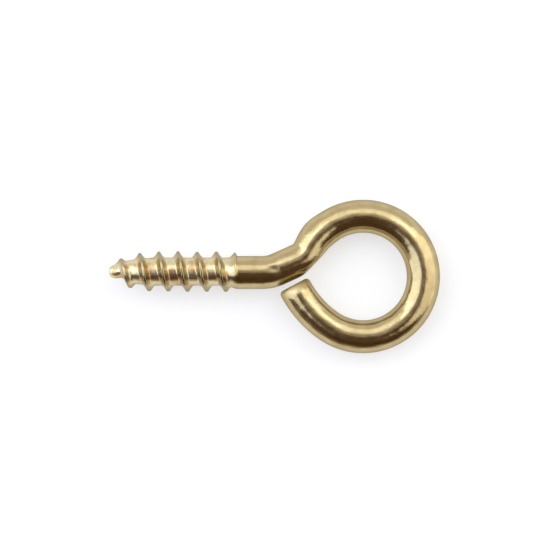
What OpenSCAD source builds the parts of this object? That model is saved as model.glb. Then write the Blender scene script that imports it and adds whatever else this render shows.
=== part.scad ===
// Screw eye: one length of drawn wire, pointed and thread-rolled at one end,
// cranked at the neck and bent round into an eye at the other.
// The eye lies flat in the XY plane. X runs along the shank, from the point to the eye,
// and starts at the shoulder, where the thread ends and a board's surface would come.

/* [Wire] */
// Length over all, from the point to the far side of the eye
overall_length = 25; // [23:0.5:50]
// Diameter of the wire
wire_diameter = 2.5; // [2.3:0.05:2.8]

/* [Eye] */
// Clear diameter inside the eye
eye_diameter = 6.6; // [5.5:0.1:9]
// Distance of the eye's centre below the axis of the shank
eye_drop = 0.3; // [0:0.05:0.8]
// Degrees of the true circle, from the far side of the eye round to the tail
eye_sweep = 125; // [110:1:135]
// Radius of the tail's centreline, wider than the eye because wire springs back
tail_radius = 8.1; // [6:0.1:14]

/* [Neck] */
// Slope of the neck where it leaves the shank, in degrees
neck_angle = 24; // [18:0.5:30]
// Radius of the easy bend at the shank, on the centreline
neck_bend_radius = 3; // [1.6:0.1:4]
// Straight stretch between the easy bend and the sharp one
neck_run = 1.7; // [1.2:0.1:2.2]
// Radius inside the sharp bend, where the neck turns into the eye
kink_inner_radius = 0.35; // [0.1:0.05:0.6]
// Slope of the flat on the stretched outside of the sharp bend, in degrees
flat_angle = 46.5; // [44:0.5:49]

/* [Cut end] */
// Gap between the cut end and the underside of the neck
mouth_gap = 0.3; // [0.1:0.05:1.5]
// Width of the worn edge left by the cutter
cut_edge_width = 0.28; // [0.05:0.01:0.6]
// Length of the worn edge along the wire
cut_edge_length = 0.32; // [0.05:0.01:0.6]

/* [Thread] */
// Threaded length, from the point to the shoulder
thread_length = 9.7; // [7:0.1:12]
// Diameter over the crests
thread_diameter = 3.1; // [2.9:0.05:3.6]
// Diameter of the core at the roots
core_diameter = 2.12; // [1.8:0.02:2.2]
// Distance from crest to crest
thread_pitch = 1.45; // [1.4:0.01:1.8]
// Width of the flat along the crest
crest_width = 0.18; // [0.1:0.01:0.3]
// Angle between the two flanks, in degrees
flank_angle = 56; // [40:1:60]
// Which way the thread turns
thread_hand = "right"; // [right, left]
// Turn of the thread's start round the shank, in degrees
thread_start = -109; // [-180:1:180]
// Length over which core and crest draw in to the point
point_length = 4; // [3:0.1:5]
// Diameter of the blunt end of the point
point_flat = 0.6; // [0.2:0.05:0.9]
// Length over which the roots rise to the shank
runout_length = 0.9; // [0.5:0.05:1.4]
// Length over which the crest drops to the shank
crest_drop_length = 0.2; // [0.1:0.05:0.5]

/* [Hidden] */
brass = [0.85, 0.72, 0.46];
$fn = 96;

// Bent wire swells a little, so each straight stretch ends inside the bend beside it
swell = 0.015;
lap = 0.1;
wire_radius = wire_diameter / 2;
bend_radius = wire_radius + swell;
eye_section = wire_radius + swell / 2;

// The circle of the eye
eye_radius = eye_diameter / 2 + eye_section;
eye_centre = [overall_length - thread_length - eye_radius - eye_section, -eye_drop];

// The neck, worked back from the eye: the sharp bend touches the eye's circle from outside
function heading(angle) = [cos(angle), sin(angle)];
kink_radius = kink_inner_radius + bend_radius;
easy_rise = neck_bend_radius * (1 - cos(neck_angle));
kink_rise = easy_rise + neck_run * sin(neck_angle) + kink_radius * cos(neck_angle);
kink_reach = sqrt(pow(eye_radius + kink_radius, 2) - pow(kink_rise - eye_centre.y, 2));
kink_centre = [eye_centre.x - kink_reach, kink_rise];
kink_start = kink_centre - kink_radius * heading(neck_angle + 90);
neck_start = kink_start - neck_run * heading(neck_angle);
shank_end = neck_start.x - neck_bend_radius * sin(neck_angle);
eye_entry = atan2(kink_centre.y - eye_centre.y, kink_centre.x - eye_centre.x);
kink_turn = eye_entry - 90 - neck_angle;
eye_lap = lap / eye_radius * 180 / PI;

// The flat, which leaves the clear circle of the eye and meets the underside of the neck
neck_normal = heading(neck_angle + 90);
flat_relief = 0.01;
flat_depth = 0.6;
flat_place = eye_diameter / 2 - flat_relief;
flat_start = eye_centre + flat_place * heading(flat_angle + 90);
flat_length = (wire_radius + neck_normal * (flat_start - kink_start)) / sin(flat_angle - neck_angle);

// The tail, which ends where the inner rim of its cut face is the mouth's gap from the neck
tail_centre = eye_centre - (tail_radius - eye_radius) * heading(-eye_sweep);
cut_radius = wire_radius - cut_edge_width;
mouth_height = neck_normal * (kink_start - tail_centre) - wire_radius - mouth_gap;
cut_angle = neck_angle - 180 - asin(mouth_height / (tail_radius - cut_radius));
tail_angle = cut_angle + cut_edge_length / tail_radius * 180 / PI;
tail_lap = lap / tail_radius * 180 / PI;
cut_lap = 0.02;
cut_section = wire_radius - swell / 2;
cut_start = tail_centre + tail_radius * heading(tail_angle) - cut_lap * heading(tail_angle - 90);

// One pitch of the thread, as pairs of place along the pitch and height from root to crest
steps_per_turn = 60;
core_radius = core_diameter / 2;
thread_radius = thread_diameter / 2;
thread_depth = thread_radius - core_radius;
flank_width = thread_depth * tan(flank_angle / 2);
profile = [
    [0, 0],
    [flank_width, 1],
    [flank_width + crest_width, 1],
    [2 * flank_width + crest_width, 0]
];
profile_count = len(profile);

// Where the helix starts, what its blunt end takes off the point,
// and how far the helix goes on inside the shank
point_start = 0.06;
point_blunt = point_length * (1 - sqrt(1 - pow(point_flat / core_diameter, 2)));
shank_overlap = 0.1;
seat_depth = 0.03;
seat_radius = wire_radius - seat_depth;
helix_length = thread_length + shank_overlap - point_start;
step_count = ceil(helix_length / thread_pitch * steps_per_turn);
rise_steps = steps_per_turn / 4;

function limit(value) = max(0, min(1, value));
function ogive(s) =
    let (part = limit((s + point_blunt) / point_length))
    sqrt(1 - pow(1 - part, 2));
function blend(low, high, part) = low + (high - low) * part;
function root_at(s) = blend(seat_radius, core_radius, limit((thread_length - s) / runout_length));
function crest_at(s) = blend(seat_radius, thread_radius, limit((thread_length - s) / crest_drop_length));
function along(step, place) = point_start + thread_pitch * step / steps_per_turn + place;

// A point of the thread, with its place along the helix and along the profile
function thread_point(step, place, height) =
    let (s = along(step, place))
    let (part = height * limit(step / rise_steps))
    let (radius = ogive(s) * blend(root_at(s), crest_at(s), part))
    let (turn = 360 * step / steps_per_turn)
    [s - thread_length, radius * cos(turn), radius * sin(turn)];

// A point of the rim of the blunt end
function end_point(step) =
    let (turn = 360 * step / steps_per_turn)
    [-thread_length, point_flat / 2 * cos(turn), point_flat / 2 * sin(turn)];

// The number of a point: past the last step only the root line runs on, for one more turn
function index(step, i) =
    i == profile_count ? index(step + steps_per_turn, 0) :
    step <= step_count ? step * profile_count + i : (step_count + 1) * profile_count + step - step_count - 1;

// Pointed core and rolled thread as one closed skin that ends inside the shank
module rolled_thread() {
    body_points = [for (k = [0:step_count], p = profile) thread_point(k, p[0], p[1])];
    tail_points = [for (k = [step_count + 1:step_count + steps_per_turn]) thread_point(k, 0, 0)];
    end_points = [for (k = [0:steps_per_turn - 1]) end_point(k)];
    tip = [-thread_length, 0, 0];
    heel = [along(step_count, thread_pitch) - thread_length, 0, 0];
    end_index = len(body_points) + len(tail_points);
    tip_index = end_index + len(end_points);
    heel_index = tip_index + 1;
    front_rim = concat(
        [for (k = [0:steps_per_turn]) index(k, 0)],
        [for (i = [profile_count - 1:-1:0]) index(0, i)]
    );
    back_rim = concat(
        [for (k = [0:steps_per_turn]) index(step_count + k, 0)],
        [for (i = [profile_count - 1:-1:0]) index(step_count, i)]
    );
    lower_faces = [
        for (k = [0:step_count - 1], i = [0:profile_count - 1])
            [index(k, i), index(k, i + 1), index(k + 1, i + 1)]
    ];
    upper_faces = [
        for (k = [0:step_count - 1], i = [0:profile_count - 1])
            [index(k, i), index(k + 1, i + 1), index(k + 1, i)]
    ];
    end_rim = [for (j = [0:len(front_rim) - 1]) end_index + min(j, steps_per_turn) % steps_per_turn];
    end_faces = [for (j = [0:steps_per_turn - 1]) [tip_index, end_rim[j], end_rim[j + 1]]];
    point_faces = [for (j = [0:len(front_rim) - 2]) [end_rim[j], front_rim[j], front_rim[j + 1]]];
    flare_faces = [for (j = [0:steps_per_turn - 1]) [end_rim[j], front_rim[j + 1], end_rim[j + 1]]];
    heel_faces = [for (j = [0:len(back_rim) - 2]) [heel_index, back_rim[j + 1], back_rim[j]]];
    mirror([0, 0, thread_hand == "left" ? 1 : 0])
        rotate([thread_start, 0, 0])
            polyhedron(
                points = concat(body_points, tail_points, end_points, [tip, heel]),
                faces = concat(lower_faces, upper_faces, end_faces, point_faces, flare_faces, heel_faces)
            );
}

// A bend of the wire round a centre, from one angle on through a turn
module wire_bend(centre, radius, start, turn, section) {
    translate([centre.x, centre.y, 0])
        rotate([0, 0, min(start, start + turn)])
            rotate_extrude(angle = abs(turn))
                translate([radius, 0])
                    circle(r = section);
}

// A straight stretch of the wire, from a point along a heading
module wire_run(start, angle, length, section, end_section) {
    translate([start.x, start.y, 0])
        rotate([0, 90, angle])
            cylinder(r1 = section, r2 = end_section, h = length);
}

// Shank, with the easy and the sharp bend of the neck
module neck() {
    wire_run([0, 0], 0, shank_end + lap, wire_radius, wire_radius);
    wire_bend([shank_end, neck_bend_radius], neck_bend_radius, -90, neck_angle, bend_radius);
    wire_run(neck_start - lap * heading(neck_angle), neck_angle, neck_run + 2 * lap, wire_radius, wire_radius);
    wire_bend(kink_centre, kink_radius, neck_angle - 90, kink_turn, bend_radius);
}

// Circle of the eye, its easier tail and the cut end
module eye() {
    wire_bend(eye_centre, eye_radius, eye_entry + eye_lap, -eye_entry - eye_sweep - eye_lap, eye_section);
    wire_bend(tail_centre, tail_radius, -eye_sweep + tail_lap, tail_angle + eye_sweep - tail_lap, wire_radius);
    wire_run(cut_start, tail_angle - 90, cut_edge_length + cut_lap, cut_section, cut_radius);
}

// What the sharp bend loses on its outside, where the wire is drawn thin
module stretch_flat() {
    translate([eye_centre.x, eye_centre.y, 0])
        rotate([0, 0, flat_angle + 90])
            translate([flat_place - flat_depth, 0, -wire_diameter])
                cube([flat_depth, flat_length, 2 * wire_diameter]);
}

module screw_eye() {
    color(brass)
        difference() {
            union() {
                rolled_thread();
                neck();
                eye();
            }
            stretch_flat();
        }
}

screw_eye();
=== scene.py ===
import math

import bmesh
import bpy
from mathutils import Matrix, Vector, kdtree


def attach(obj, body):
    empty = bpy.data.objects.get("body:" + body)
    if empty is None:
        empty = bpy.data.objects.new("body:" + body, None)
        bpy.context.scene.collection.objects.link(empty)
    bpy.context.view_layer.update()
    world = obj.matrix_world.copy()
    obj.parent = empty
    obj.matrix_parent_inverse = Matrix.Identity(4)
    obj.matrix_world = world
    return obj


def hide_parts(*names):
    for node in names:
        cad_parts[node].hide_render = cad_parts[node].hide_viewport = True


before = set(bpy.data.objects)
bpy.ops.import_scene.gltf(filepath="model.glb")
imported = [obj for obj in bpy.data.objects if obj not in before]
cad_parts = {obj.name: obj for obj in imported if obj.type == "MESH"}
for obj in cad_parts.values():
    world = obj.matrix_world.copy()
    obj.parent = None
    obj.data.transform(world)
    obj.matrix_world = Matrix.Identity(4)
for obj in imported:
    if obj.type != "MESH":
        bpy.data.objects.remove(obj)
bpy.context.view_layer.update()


# Wire blank
# A length of soft steel wire, drawn round through a die to 2.5 mm and cut off square. It starts
# as a ring of points at the tip and is drawn out straight as far as the shoulder. Its sizes, and
# those of every later section, are in millimetres.
MM = 0.001
NEAR = 0.001
WIRE_RADIUS = 1.25
THREAD_LENGTH = 9.7
SIDES = 96
BLANK_CUTS = 329

bpy.ops.object.select_all(action="DESELECT")
bpy.ops.mesh.primitive_circle_add(
    vertices=SIDES, radius=WIRE_RADIUS * MM,
    location=(-THREAD_LENGTH * MM, 0, 0), rotation=(0, math.pi / 2, 0))
bpy.ops.object.transform_apply(location=True, rotation=True, scale=True)
screw_eye = bpy.context.object
screw_eye.name = "screw_eye_wire"
screw_eye.data.name = "screw_eye_wire"
bpy.ops.object.mode_set(mode="EDIT")
bpy.ops.mesh.select_mode(type="EDGE")


def select_edges(wanted):
    """Selects the edges whose two ends, in millimetres, pass the test"""
    bpy.ops.mesh.select_all(action="DESELECT")
    shape = bmesh.from_edit_mesh(screw_eye.data)
    for edge in shape.edges:
        edge.select = wanted(edge.verts[0].co / MM, edge.verts[1].co / MM)
    bmesh.update_edit_mesh(screw_eye.data)


bpy.ops.mesh.extrude_region_move(TRANSFORM_OT_translate={"value": (THREAD_LENGTH * MM, 0, 0)})
select_edges(lambda a, b: abs(a.x - b.x) > THREAD_LENGTH / 2)
bpy.ops.mesh.subdivide_edgering(number_cuts=BLANK_CUTS, interpolation="LINEAR", smoothness=0)
select_edges(lambda a, b: abs(a.x) < NEAR and abs(b.x) < NEAR)

# The middle line of the wire, one entry for each ring: the ring's centre, the length of wire
# up to it from the shoulder and the direction to its left
blank = [THREAD_LENGTH * i / (BLANK_CUTS + 1) - THREAD_LENGTH for i in range(BLANK_CUTS + 2)]
spine = [(Vector((along, 0, 0)), along, Vector((0, 1, 0))) for along in blank]


# Shank and neck
# Above the thread the plain wire runs straight, turns up in an easy bend, and then folds sharply
# over the corner of a bending tool, which stretches and flattens the wire on the far side.
OVERALL_LENGTH = 25
SWELL = 0.0075
EYE_CLEAR = 6.6
EYE_DROP = 0.3
NECK_SLOPE = 24
NECK_BEND_RADIUS = 3
NECK_RUN = 1.7
KINK_INSIDE = 0.35
SHANK_RINGS = 6
NECK_BEND_RINGS = 10
NECK_RINGS = 24
KINK_RINGS = 32

kink_radius = KINK_INSIDE + WIRE_RADIUS + 2 * SWELL
eye_radius = EYE_CLEAR / 2 + WIRE_RADIUS + SWELL
eye_reach = OVERALL_LENGTH - THREAD_LENGTH - eye_radius - WIRE_RADIUS - SWELL
eye_centre = Vector((eye_reach, -EYE_DROP, 0))


def heading(degrees):
    """The direction at an angle from X, in the plane of the eye"""
    return Vector((math.cos(math.radians(degrees)), math.sin(math.radians(degrees)), 0))


def draw_straight(length, degrees, steps):
    """Draws the open end of the wire on in a straight line"""
    ahead = heading(degrees) * length / steps
    for _ in range(steps):
        bpy.ops.mesh.extrude_region_move(TRANSFORM_OT_translate={"value": ahead * MM})
        centre, along, left = spine[-1]
        spine.append((centre + ahead, along + length / steps, left))


def bend_round(middle, degrees, steps):
    """Spins the open end of the wire round a point, to the left for a positive angle"""
    bpy.ops.mesh.spin(
        steps=steps, angle=math.radians(-degrees), center=middle * MM, axis=(0, 0, 1))
    start, along, left = spine[-1]
    arm = start - middle
    for step in range(1, steps + 1):
        turn = math.radians(degrees * step / steps)
        swing = Matrix.Rotation(turn, 3, "Z")
        spine.append((middle + swing @ arm, along + arm.length * abs(turn), swing @ left))


kink_rise = (NECK_BEND_RADIUS * (1 - math.cos(math.radians(NECK_SLOPE)))
             + NECK_RUN * math.sin(math.radians(NECK_SLOPE))
             + kink_radius * math.cos(math.radians(NECK_SLOPE)))
kink_reach = math.sqrt((eye_radius + kink_radius) ** 2 - (kink_rise + EYE_DROP) ** 2)
kink_centre = Vector((eye_centre.x - kink_reach, kink_rise, 0))
kink_start = kink_centre - kink_radius * heading(NECK_SLOPE + 90)
neck_start = kink_start - NECK_RUN * heading(NECK_SLOPE)
shank_end = neck_start.x - NECK_BEND_RADIUS * math.sin(math.radians(NECK_SLOPE))
eye_entry = math.degrees(math.atan2(kink_centre.y - eye_centre.y, kink_centre.x - eye_centre.x))

draw_straight(shank_end, 0, SHANK_RINGS)
bend_round(Vector((shank_end, NECK_BEND_RADIUS, 0)), NECK_SLOPE, NECK_BEND_RINGS)
draw_straight(NECK_RUN, NECK_SLOPE, NECK_RINGS)
neck_along = spine[-1][1]
bend_round(kink_centre, eye_entry - 90 - NECK_SLOPE, KINK_RINGS)
kink_along = spine[-1][1]


# Eye, tail and cut end
# The wire is wound round a mandrel into the eye. Its last stretch springs back to an easier curve
# and stops just short of the neck, where a cutter sheared it off and left a rounded edge.
EYE_SWEEP = 125
TAIL_RADIUS = 8.1
MOUTH_GAP = 0.3
CUT_EDGE_WIDTH = 0.28
CUT_EDGE_LENGTH = 0.32
CUT_FACE_RIM = 0.5
EYE_RINGS = 168
TAIL_RINGS = 28
CUT_EDGE_RINGS = 8

bend_round(eye_centre, -eye_entry - EYE_SWEEP, EYE_RINGS)
tail_centre = eye_centre - (TAIL_RADIUS - eye_radius) * heading(-EYE_SWEEP)
mouth_height = heading(NECK_SLOPE + 90).dot(kink_start - tail_centre) - WIRE_RADIUS - MOUTH_GAP
cut_reach = TAIL_RADIUS - WIRE_RADIUS + CUT_EDGE_WIDTH
cut_angle = NECK_SLOPE - 180 - math.degrees(math.asin(mouth_height / cut_reach))
tail_angle = cut_angle + math.degrees(CUT_EDGE_LENGTH / TAIL_RADIUS)
bend_round(tail_centre, tail_angle + EYE_SWEEP, TAIL_RINGS)

wide = 1
reached = 0
for step in range(1, CUT_EDGE_RINGS + 1):
    turn = math.radians(90 * step / CUT_EDGE_RINGS)
    narrow = 1 - CUT_EDGE_WIDTH / WIRE_RADIUS * (1 - math.cos(turn))
    draw_straight(CUT_EDGE_LENGTH * math.sin(turn) - reached, tail_angle - 90, 1)
    bpy.ops.transform.resize(
        value=(narrow / wide,) * 3, center_override=spine[-1][0] * MM)
    wide = narrow
    reached = CUT_EDGE_LENGTH * math.sin(turn)
bpy.ops.mesh.edge_face_add()
bpy.ops.mesh.inset(thickness=CUT_FACE_RIM * MM)
bpy.ops.mesh.poke()
bpy.ops.object.mode_set(mode="OBJECT")

# Where each point sits on the wire: millimetres along it and its place across it. The cut end
# comes close to the neck, so a ring counts only for points that lie in its plane
IN_PLANE = 0.002

nearest = kdtree.KDTree(len(spine))
for ring, (centre, along, left) in enumerate(spine):
    nearest.insert(centre, ring)
nearest.balance()
drawn = []
for vertex in screw_eye.data.vertices:
    point = vertex.co / MM
    found = nearest.find(
        point, filter=lambda ring: abs((point - spine[ring][0]).cross(spine[ring][2]).z) < IN_PLANE)
    centre, along, left = spine[found[1]]
    drawn.append((along, (point - centre).dot(left), point.z))

# The jaws of the cutter closed from above and below, so the last of the tail slopes to the cut
# there, and its edge is sharper than at the sides
PINCH_LENGTH = 0.85
PINCH_DEPTH = 0.24
EDGE_SHARPNESS = 0.55

least_left = 1 - CUT_EDGE_WIDTH / WIRE_RADIUS
near_cut = [max(0, 1 - (spine[-1][1] - along) / PINCH_LENGTH) for along, side, height in drawn]
for vertex, near, (along, side, height) in zip(screw_eye.data.vertices, near_cut, drawn):
    if near > 0:
        left_over = max(least_left, min(1, math.hypot(side, height) / WIRE_RADIUS))
        vertex.co.z *= 1 + EDGE_SHARPNESS * (1 / left_over - 1)
        vertex.co.z *= 1 - PINCH_DEPTH * near * near

# The far side of the sharp bend, stretched flat: the flat runs up from the neck and fades out where
# it touches the clear circle of the eye. The wire spreads where much of it is pressed in
FLAT_SLOPE = 46.5
FLAT_INSIDE = 0.01
FLAT_EASE = 0.06
FLAT_FADE = 0.3
FLAT_REACH = 3.5
FLAT_SPREAD = 0.05
FLAT_SPREAD_DEPTH = 0.4


def ease(value):
    """A smooth step from 0 to 1"""
    part = max(0, min(1, value))
    return part * part * (3 - 2 * part)


flat_place = EYE_CLEAR / 2 - FLAT_INSIDE
flat_normal = heading(FLAT_SLOPE + 90)
flat_ahead = heading(FLAT_SLOPE + 180)
for vertex, (along, side, height) in zip(screw_eye.data.vertices, drawn):
    point = vertex.co / MM - eye_centre
    if neck_along - NECK_RUN < along < neck_along + FLAT_REACH:
        depth = point.dot(flat_normal)
        over = depth - flat_place
        held = flat_place + (over + math.sqrt(over * over + 4 * FLAT_EASE * FLAT_EASE)) / 2
        move = (held - depth) * ease((point.dot(flat_ahead) + FLAT_FADE) / (2 * FLAT_FADE))
        vertex.co += flat_normal * move * MM
        vertex.co.z *= 1 + FLAT_SPREAD * ease(move / FLAT_SPREAD_DEPTH)

# On its near side the wire is squeezed by the tool: it swells where it leaves the bend, and the
# tool's edge has left a shallow mark where it enters it
SWELLING = 0.1
SWELLING_LENGTH = 2.6
MARK_PLACE = Vector((2.8, 0.27, 1.2))
MARK_DEPTH = 0.08
MARK_LENGTH = 0.45
MARK_WIDTH = 0.24

for vertex, (along, side, height) in zip(screw_eye.data.vertices, drawn):
    past_bend = (along - kink_along) / SWELLING_LENGTH
    if 0 < past_bend < 1 and side > 0:
        out = (vertex.co / MM - eye_centre) * Vector((1, 1, 0))
        bulge = SWELLING * math.sin(math.pi * past_bend) ** 2 * (side / WIRE_RADIUS) ** 2
        vertex.co += out.normalized() * bulge * MM
    off = vertex.co / MM - MARK_PLACE
    off = Vector((off.x / MARK_LENGTH, off.y / MARK_WIDTH, off.z / MARK_LENGTH))
    vertex.co.z -= MARK_DEPTH * math.exp(-off.length_squared) * MM


# Rolled thread
# The end of the wire is pointed and then rolled cold between dies, which press the roots in and
# raise the crests above the wire. The thread starts at the tip and runs out at the shoulder.
THREAD_RADIUS = 1.549
CORE_RADIUS = 1.06
PITCH = 1.45
CREST_WIDTH = 0.14
FLANK_ANGLE = 56
THREAD_START = -109
HELIX_START = 0.06
START_FADE = 0.25
POINT_LENGTH = 4
POINT_FLAT = 0.6
POINT_ROUND = 0.08
RUNOUT = 0.9
CREST_DROP = 0.2
RIGHT_HAND = 1
ROOT_REACH = 0.37
ROOT_HOLLOW = 1.5
THREAD_LIFT = 0.07
CREST_UNEVEN = 0.12
CREST_WAVES = (5.3, 2.1)
HOLLOW_PLACE = 0.98
HOLLOW_LENGTH = 0.42
HOLLOW_DEPTH = 0.24
GREY_START = 0.55
GREY_FADE = 0.4

flank_width = (THREAD_RADIUS - CORE_RADIUS) * math.tan(math.radians(FLANK_ANGLE / 2))
crest_place = flank_width + CREST_WIDTH / 2
point_blunt = POINT_LENGTH * (1 - math.sqrt(1 - (POINT_FLAT / 2 / CORE_RADIUS) ** 2))
depth_in_thread = [0.0] * len(drawn)
grey_on_crest = [0.0] * len(drawn)
for i, (vertex, (along, side, height)) in enumerate(zip(screw_eye.data.vertices, drawn)):
    if along >= 0:
        continue
    from_tip = along + THREAD_LENGTH
    to_shoulder = THREAD_LENGTH - from_tip
    reach = math.hypot(side, height)

    # How high the point stands on the ridge, which starts near the tip and isn't quite even
    angle = math.degrees(math.atan2(height * RIGHT_HAND, side)) - THREAD_START
    turns = (from_tip - HELIX_START) / PITCH - angle / 360
    place = (turns - math.floor(turns)) * PITCH
    step = (from_tip - HELIX_START - place) / PITCH
    off_crest = min(abs(place - crest_place), PITCH - abs(place - crest_place))
    rise = max(0, 1 - max(0, off_crest - CREST_WIDTH / 2) / ROOT_REACH) ** ROOT_HOLLOW
    rise *= ease(step / START_FADE)
    turn = step if place < crest_place + PITCH / 2 else step + 1
    waver = math.sin(CREST_WAVES[0] * turn) * math.cos(CREST_WAVES[1] * turn)
    rise *= 1 - CREST_UNEVEN * (1 + waver) / 2

    # Root and crest draw in to the point and meet the plain shank at the shoulder
    root = WIRE_RADIUS + (CORE_RADIUS - WIRE_RADIUS) * ease(to_shoulder / RUNOUT)
    crest = WIRE_RADIUS + (THREAD_RADIUS - WIRE_RADIUS) * ease(to_shoulder / CREST_DROP)
    part = min(1, (from_tip + point_blunt) / POINT_LENGTH)
    radius = math.sqrt(1 - (1 - part) ** 2) * (root + (crest - root) * rise)
    if from_tip < POINT_ROUND:
        radius -= POINT_ROUND * (1 - math.sqrt(1 - (1 - from_tip / POINT_ROUND) ** 2))

    # One side of the point was pressed hollow, and the thread was rolled a little off the axis
    hollow = math.exp(-((from_tip - HOLLOW_PLACE) / HOLLOW_LENGTH) ** 2) * max(0, -side / reach)
    radius -= HOLLOW_DEPTH * hollow * (1 - rise)
    lift = THREAD_LIFT * ease(to_shoulder / RUNOUT)
    vertex.co = Vector((along, side / reach * radius + lift, height / reach * radius)) * MM
    depth_in_thread[i] = (1 - rise) * ease(to_shoulder / RUNOUT)
    grey_on_crest[i] = ease((rise - GREY_START) / GREY_FADE)

bpy.ops.object.mode_set(mode="EDIT")
select_edges(lambda a, b: max(a.x, b.x) < NEAR - THREAD_LENGTH)
bpy.ops.mesh.edge_face_add()
bpy.ops.mesh.poke()
bpy.ops.mesh.select_all(action="SELECT")
bpy.ops.mesh.normals_make_consistent(inside=False)
bpy.ops.object.mode_set(mode="OBJECT")
bpy.ops.object.shade_smooth()


# Brass plating
# A bright brass plate a few microns thick over the drawn steel. It keeps the die's fine lines
# along the wire, which draw its highlights out into streaks. It clouds a little, and it is duller
# down in the roots of the thread.
LINE_LENGTH = 6.25
LINE_WIDTH = 0.15625
LINE_DEPTH = 0.007
DENT_SIZE = 1.25
DENT_DEPTH = 0.05
GRAIN_SIZE = 0.25
GRAIN_DEPTH = 0.008
CLOUD_SIZE = 0.9091
TAN_PLATE = "#A69061"
PALE_PLATE = "#D6C496"
ROOT_PAINTED_LIGHT = "#DFD1A8"
COPPER_UNDERCOAT = "#CBA272"
CREST_GREY_COLOUR = "#9A917C"
COPPER_SHARE = 0.85
SMOOTH_LINE = 0.15
ROUGH_LINE = 0.26
ROOT_DULLING = 0.1
CUT_DULLING = 0.3
EDGE_TINT = 0.55


def colour(hex_code):
    """A linear colour from an sRGB hex code"""
    parts = [int(hex_code[i:i + 2], 16) / 255 for i in (1, 3, 5)]
    return tuple(p / 12.92 if p <= 0.04045 else ((p + 0.055) / 1.055) ** 2.4 for p in parts) + (1,)


def add_node(tree, kind, inputs=None, **settings):
    """Adds a node with its settings, and its inputs as values or as links from other nodes"""
    node = tree.nodes.new(kind)
    for name, value in settings.items():
        setattr(node, name, value)
    for key, value in (inputs or {}).items():
        if isinstance(value, bpy.types.NodeSocket):
            tree.links.new(value, node.inputs[key])
        else:
            node.inputs[key].default_value = value
    return node


def mark_points(name, values):
    """Keeps one value for each point of the wire, for the plating to read"""
    marks = screw_eye.data.attributes.new(name, "FLOAT", "POINT")
    for i, value in enumerate(values):
        marks.data[i].value = value


wire_lines = screw_eye.data.attributes.new("wire_lines", "FLOAT_VECTOR", "POINT")
for i, (along, side, height) in enumerate(drawn):
    reach = math.hypot(side, height) or 1
    wire_lines.data[i].vector = (along, side / reach, height / reach)
mark_points("thread_depth", depth_in_thread)
mark_points("crest_grey_mask", grey_on_crest)
mark_points("cut_end", near_cut)

brass = bpy.data.materials.new("bright_brass_plating_on_drawn_steel_wire")
brass.use_nodes = True
tree = brass.node_tree
tree.nodes.clear()

# Die lines are a few hundredths of a millimetre wide on real wire: drawn about 0.16 mm wide here,
# so that they show, and some 6 mm long
place = add_node(tree, "ShaderNodeAttribute", attribute_name="wire_lines")
line_round = WIRE_RADIUS / LINE_WIDTH
stretched = add_node(
    tree, "ShaderNodeVectorMath",
    {0: place.outputs["Vector"], 1: (1 / LINE_LENGTH, line_round, line_round)},
    operation="MULTIPLY")
lines = add_node(
    tree, "ShaderNodeTexNoise", {"Vector": stretched.outputs[0], "Scale": 1.0, "Detail": 3.0})

# Handling and tumbling in the plating barrel leave shallow dents and a grain. The plating bath
# leaves clouds
where = add_node(tree, "ShaderNodeTexCoord")
dents = add_node(
    tree, "ShaderNodeTexNoise",
    {"Vector": where.outputs["Object"], "Scale": 1 / (DENT_SIZE * MM), "Detail": 1.0})
grain = add_node(
    tree, "ShaderNodeTexNoise",
    {"Vector": where.outputs["Object"], "Scale": 1 / (GRAIN_SIZE * MM), "Detail": 2.0})
clouds = add_node(
    tree, "ShaderNodeTexNoise",
    {"Vector": where.outputs["Object"], "Scale": 1 / (CLOUD_SIZE * MM), "Detail": 4.0})
dented = add_node(
    tree, "ShaderNodeBump", {"Distance": DENT_DEPTH * MM, "Height": dents.outputs["Fac"]})
lined = add_node(
    tree, "ShaderNodeBump",
    {"Distance": LINE_DEPTH * MM, "Height": lines.outputs["Fac"],
     "Normal": dented.outputs["Normal"]})
grained = add_node(
    tree, "ShaderNodeBump",
    {"Distance": GRAIN_DEPTH * MM, "Height": grain.outputs["Fac"],
     "Normal": lined.outputs["Normal"]})

# The plate clouds from pale to tan. Its roots are painted paler, painted light against their
# shade, and the copper undercoat shows through there in spots. On the crests it greys in patches
depth = add_node(tree, "ShaderNodeAttribute", attribute_name="thread_depth")
plate = add_node(
    tree, "ShaderNodeMix",
    {"Factor": clouds.outputs["Fac"], "A": colour(TAN_PLATE), "B": colour(PALE_PLATE)},
    data_type="RGBA")
# Painted light: the roots of the thread are painted paler to make up for the shade that falls in
# them
painted_root_light = add_node(
    tree, "ShaderNodeMix",
    {"Factor": depth.outputs["Fac"], "A": plate.outputs["Result"], "B": colour(ROOT_PAINTED_LIGHT)},
    data_type="RGBA")
thin = add_node(
    tree, "ShaderNodeMapRange",
    {"Value": clouds.outputs["Fac"], "From Min": 0.5, "From Max": 0.62,
     "To Min": 0.0, "To Max": COPPER_SHARE})
bare = add_node(
    tree, "ShaderNodeMath",
    {0: thin.outputs["Result"], 1: depth.outputs["Fac"]}, operation="MULTIPLY")
tinted = add_node(
    tree, "ShaderNodeMix",
    {"Factor": bare.outputs[0], "A": painted_root_light.outputs["Result"], "B": colour(COPPER_UNDERCOAT)},
    data_type="RGBA")
# The crests of the thread turn grey in patches
crests = add_node(tree, "ShaderNodeAttribute", attribute_name="crest_grey_mask")
grey_patches = add_node(
    tree, "ShaderNodeMath",
    {0: crests.outputs["Fac"], 1: clouds.outputs["Fac"]}, operation="MULTIPLY")
greyed = add_node(
    tree, "ShaderNodeMix",
    {"Factor": grey_patches.outputs[0], "A": tinted.outputs["Result"], "B": colour(CREST_GREY_COLOUR)},
    data_type="RGBA")

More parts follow.
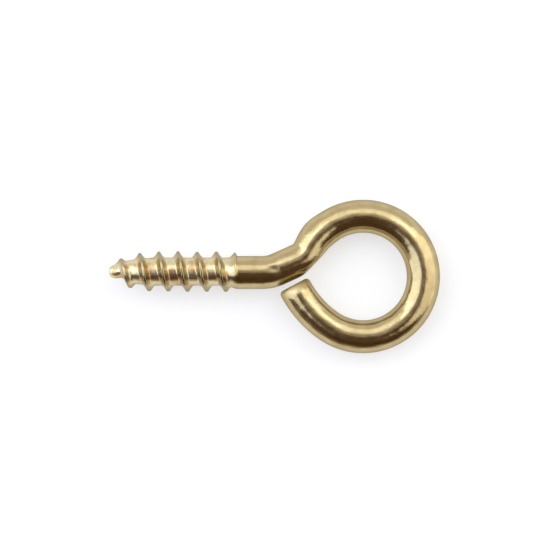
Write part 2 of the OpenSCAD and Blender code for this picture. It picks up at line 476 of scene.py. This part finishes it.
# The plate is smooth along the wire, duller in the roots and dullest where the cutter tore it
streaks = add_node(
    tree, "ShaderNodeMapRange",
    {"Value": lines.outputs["Fac"], "From Min": 0.3, "From Max": 0.7,
     "To Min": SMOOTH_LINE, "To Max": ROUGH_LINE})
rolled = add_node(
    tree, "ShaderNodeMath",
    {0: depth.outputs["Fac"], 1: ROOT_DULLING, 2: streaks.outputs["Result"]},
    operation="MULTIPLY_ADD")
torn = add_node(tree, "ShaderNodeAttribute", attribute_name="cut_end")
rough = add_node(
    tree, "ShaderNodeMath",
    {0: torn.outputs["Fac"], 1: CUT_DULLING, 2: rolled.outputs[0]}, operation="MULTIPLY_ADD")
surface = add_node(
    tree, "ShaderNodeBsdfPrincipled",
    {"Base Color": greyed.outputs["Result"], "Metallic": 1.0,
     "Specular Tint": (EDGE_TINT, EDGE_TINT, EDGE_TINT, 1),
     "Roughness": rough.outputs[0], "Normal": grained.outputs["Normal"]})
add_node(tree, "ShaderNodeOutputMaterial", {"Surface": surface.outputs["BSDF"]})
screw_eye.data.materials.append(brass)

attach(screw_eye, "root")
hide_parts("screw_eye")


# Table
# A plain matt white table top. The wire lies on the last crest of its thread and on the far side
# of the eye, so the table leans by about a degree to touch both.
TABLE_SIZE = 4000
TABLE_X = -0.8
TABLE_Z = -1.56
TABLE_LEAN = 1.13
WHITE_SHARE = 0.6

bpy.ops.object.select_all(action="DESELECT")
bpy.ops.mesh.primitive_plane_add(
    size=TABLE_SIZE * MM, location=(TABLE_X * MM, 0, TABLE_Z * MM),
    rotation=(0, math.radians(-TABLE_LEAN), 0))
table = bpy.context.object
table.name = "white_table"

# Its paint has no gloss and takes a soft shadow. A part of its white shows only to the camera and
# in reflections, which keeps it white without more light on the wire
paint = bpy.data.materials.new("matt_white_table_top")
paint.use_nodes = True
tree = paint.node_tree
tree.nodes.clear()
ray = add_node(tree, "ShaderNodeLightPath")
seen = add_node(
    tree, "ShaderNodeMath",
    {0: ray.outputs["Is Camera Ray"], 1: ray.outputs["Is Glossy Ray"]}, operation="MAXIMUM")
seen_too = add_node(
    tree, "ShaderNodeMath",
    {0: seen.outputs[0], 1: ray.outputs["Is Transmission Ray"]}, operation="MAXIMUM")
share = add_node(
    tree, "ShaderNodeMath", {0: seen_too.outputs[0], 1: WHITE_SHARE}, operation="MULTIPLY")
matt = add_node(tree, "ShaderNodeBsdfDiffuse", {"Color": colour("#B0B0B0")})
white = add_node(
    tree, "ShaderNodeEmission", {"Color": colour("#FFFFFF"), "Strength": share.outputs[0]})
both = add_node(tree, "ShaderNodeAddShader", {0: matt.outputs[0], 1: white.outputs[0]})
add_node(tree, "ShaderNodeOutputMaterial", {"Surface": both.outputs[0]})
table.data.materials.append(paint)


# Studio light
# Soft boxes to the left, to the right and behind, in a room with a pale horizon. Its ceiling is
# dark in front, which gives the wire its dark line.
BOX_AWAY = 300
LIT_X = 4


def soft_box(name, azimuth, tilt, width, height, radiance, tint):
    """A soft box that faces the object: tilt is its angle from straight above"""
    slant = math.radians(tilt)
    out = heading(azimuth) * math.sin(slant) + Vector((0, 0, math.cos(slant)))
    spot = Vector((LIT_X, 0, 0)) + out * BOX_AWAY
    bpy.ops.object.light_add(type="AREA", location=spot * MM)
    lamp = bpy.context.object
    lamp.name = name
    lamp.rotation_euler = out.to_track_quat("Z", "Y").to_euler()
    lamp.data.shape = "RECTANGLE"
    lamp.data.size = width * MM
    lamp.data.size_y = height * MM
    lamp.data.energy = radiance * math.pi * width * MM * height * MM
    lamp.data.color = colour(tint)[:3]


soft_box("left_soft_box", 176, 52, 320, 420, 2.1, "#DDE8FF")
soft_box("right_soft_box", 4, 53, 370, 410, 1.2, "#FFFFFF")
soft_box("back_soft_box", 90, 37, 400, 160, 0.8, "#F2F5FF")

# The room grows pale towards the back and down towards the horizon
world = bpy.data.worlds.new("dim_studio")
bpy.context.scene.world = world
world.use_nodes = True
tree = world.node_tree
tree.nodes.clear()
way = add_node(tree, "ShaderNodeTexCoord")
parts = add_node(tree, "ShaderNodeSeparateXYZ", {0: way.outputs["Generated"]})
behind = add_node(
    tree, "ShaderNodeMapRange", {"Value": parts.outputs["Y"], "From Min": -0.12, "From Max": 0.42})
low = add_node(
    tree, "ShaderNodeMapRange",
    {"Value": parts.outputs["Z"], "From Min": 0.02, "From Max": 0.26, "To Min": 1.0, "To Max": 0.0})
pale = add_node(
    tree, "ShaderNodeMath",
    {0: behind.outputs["Result"], 1: low.outputs["Result"]}, operation="MAXIMUM")
tone = add_node(
    tree, "ShaderNodeMix",
    {"Factor": pale.outputs[0], "A": colour("#573F28"), "B": colour("#F3F3F3")}, data_type="RGBA")
room = add_node(tree, "ShaderNodeBackground", {"Color": tone.outputs["Result"], "Strength": 1.0})
add_node(tree, "ShaderNodeOutputWorld", {"Surface": room.outputs[0]})
bpy.context.scene.view_settings.view_transform = "Standard"


# Camera
# It looks straight down on the flat eye from a distance, as the photograph does. The frame is
# square, and its width and middle are measured at the level of the wire's axis.
FRAME_WIDTH = 41.6
FRAME_X = 2.82
FRAME_Y = -0.19
LENS = 135
SENSOR = 36
CLIP_START = 5

distance = FRAME_WIDTH * LENS / SENSOR
bpy.ops.object.camera_add(location=(FRAME_X * MM, FRAME_Y * MM, distance * MM), rotation=(0, 0, 0))
camera = bpy.context.object
camera.data.lens = LENS
camera.data.sensor_width = SENSOR
camera.data.clip_start = CLIP_START * MM
bpy.context.scene.camera = camera
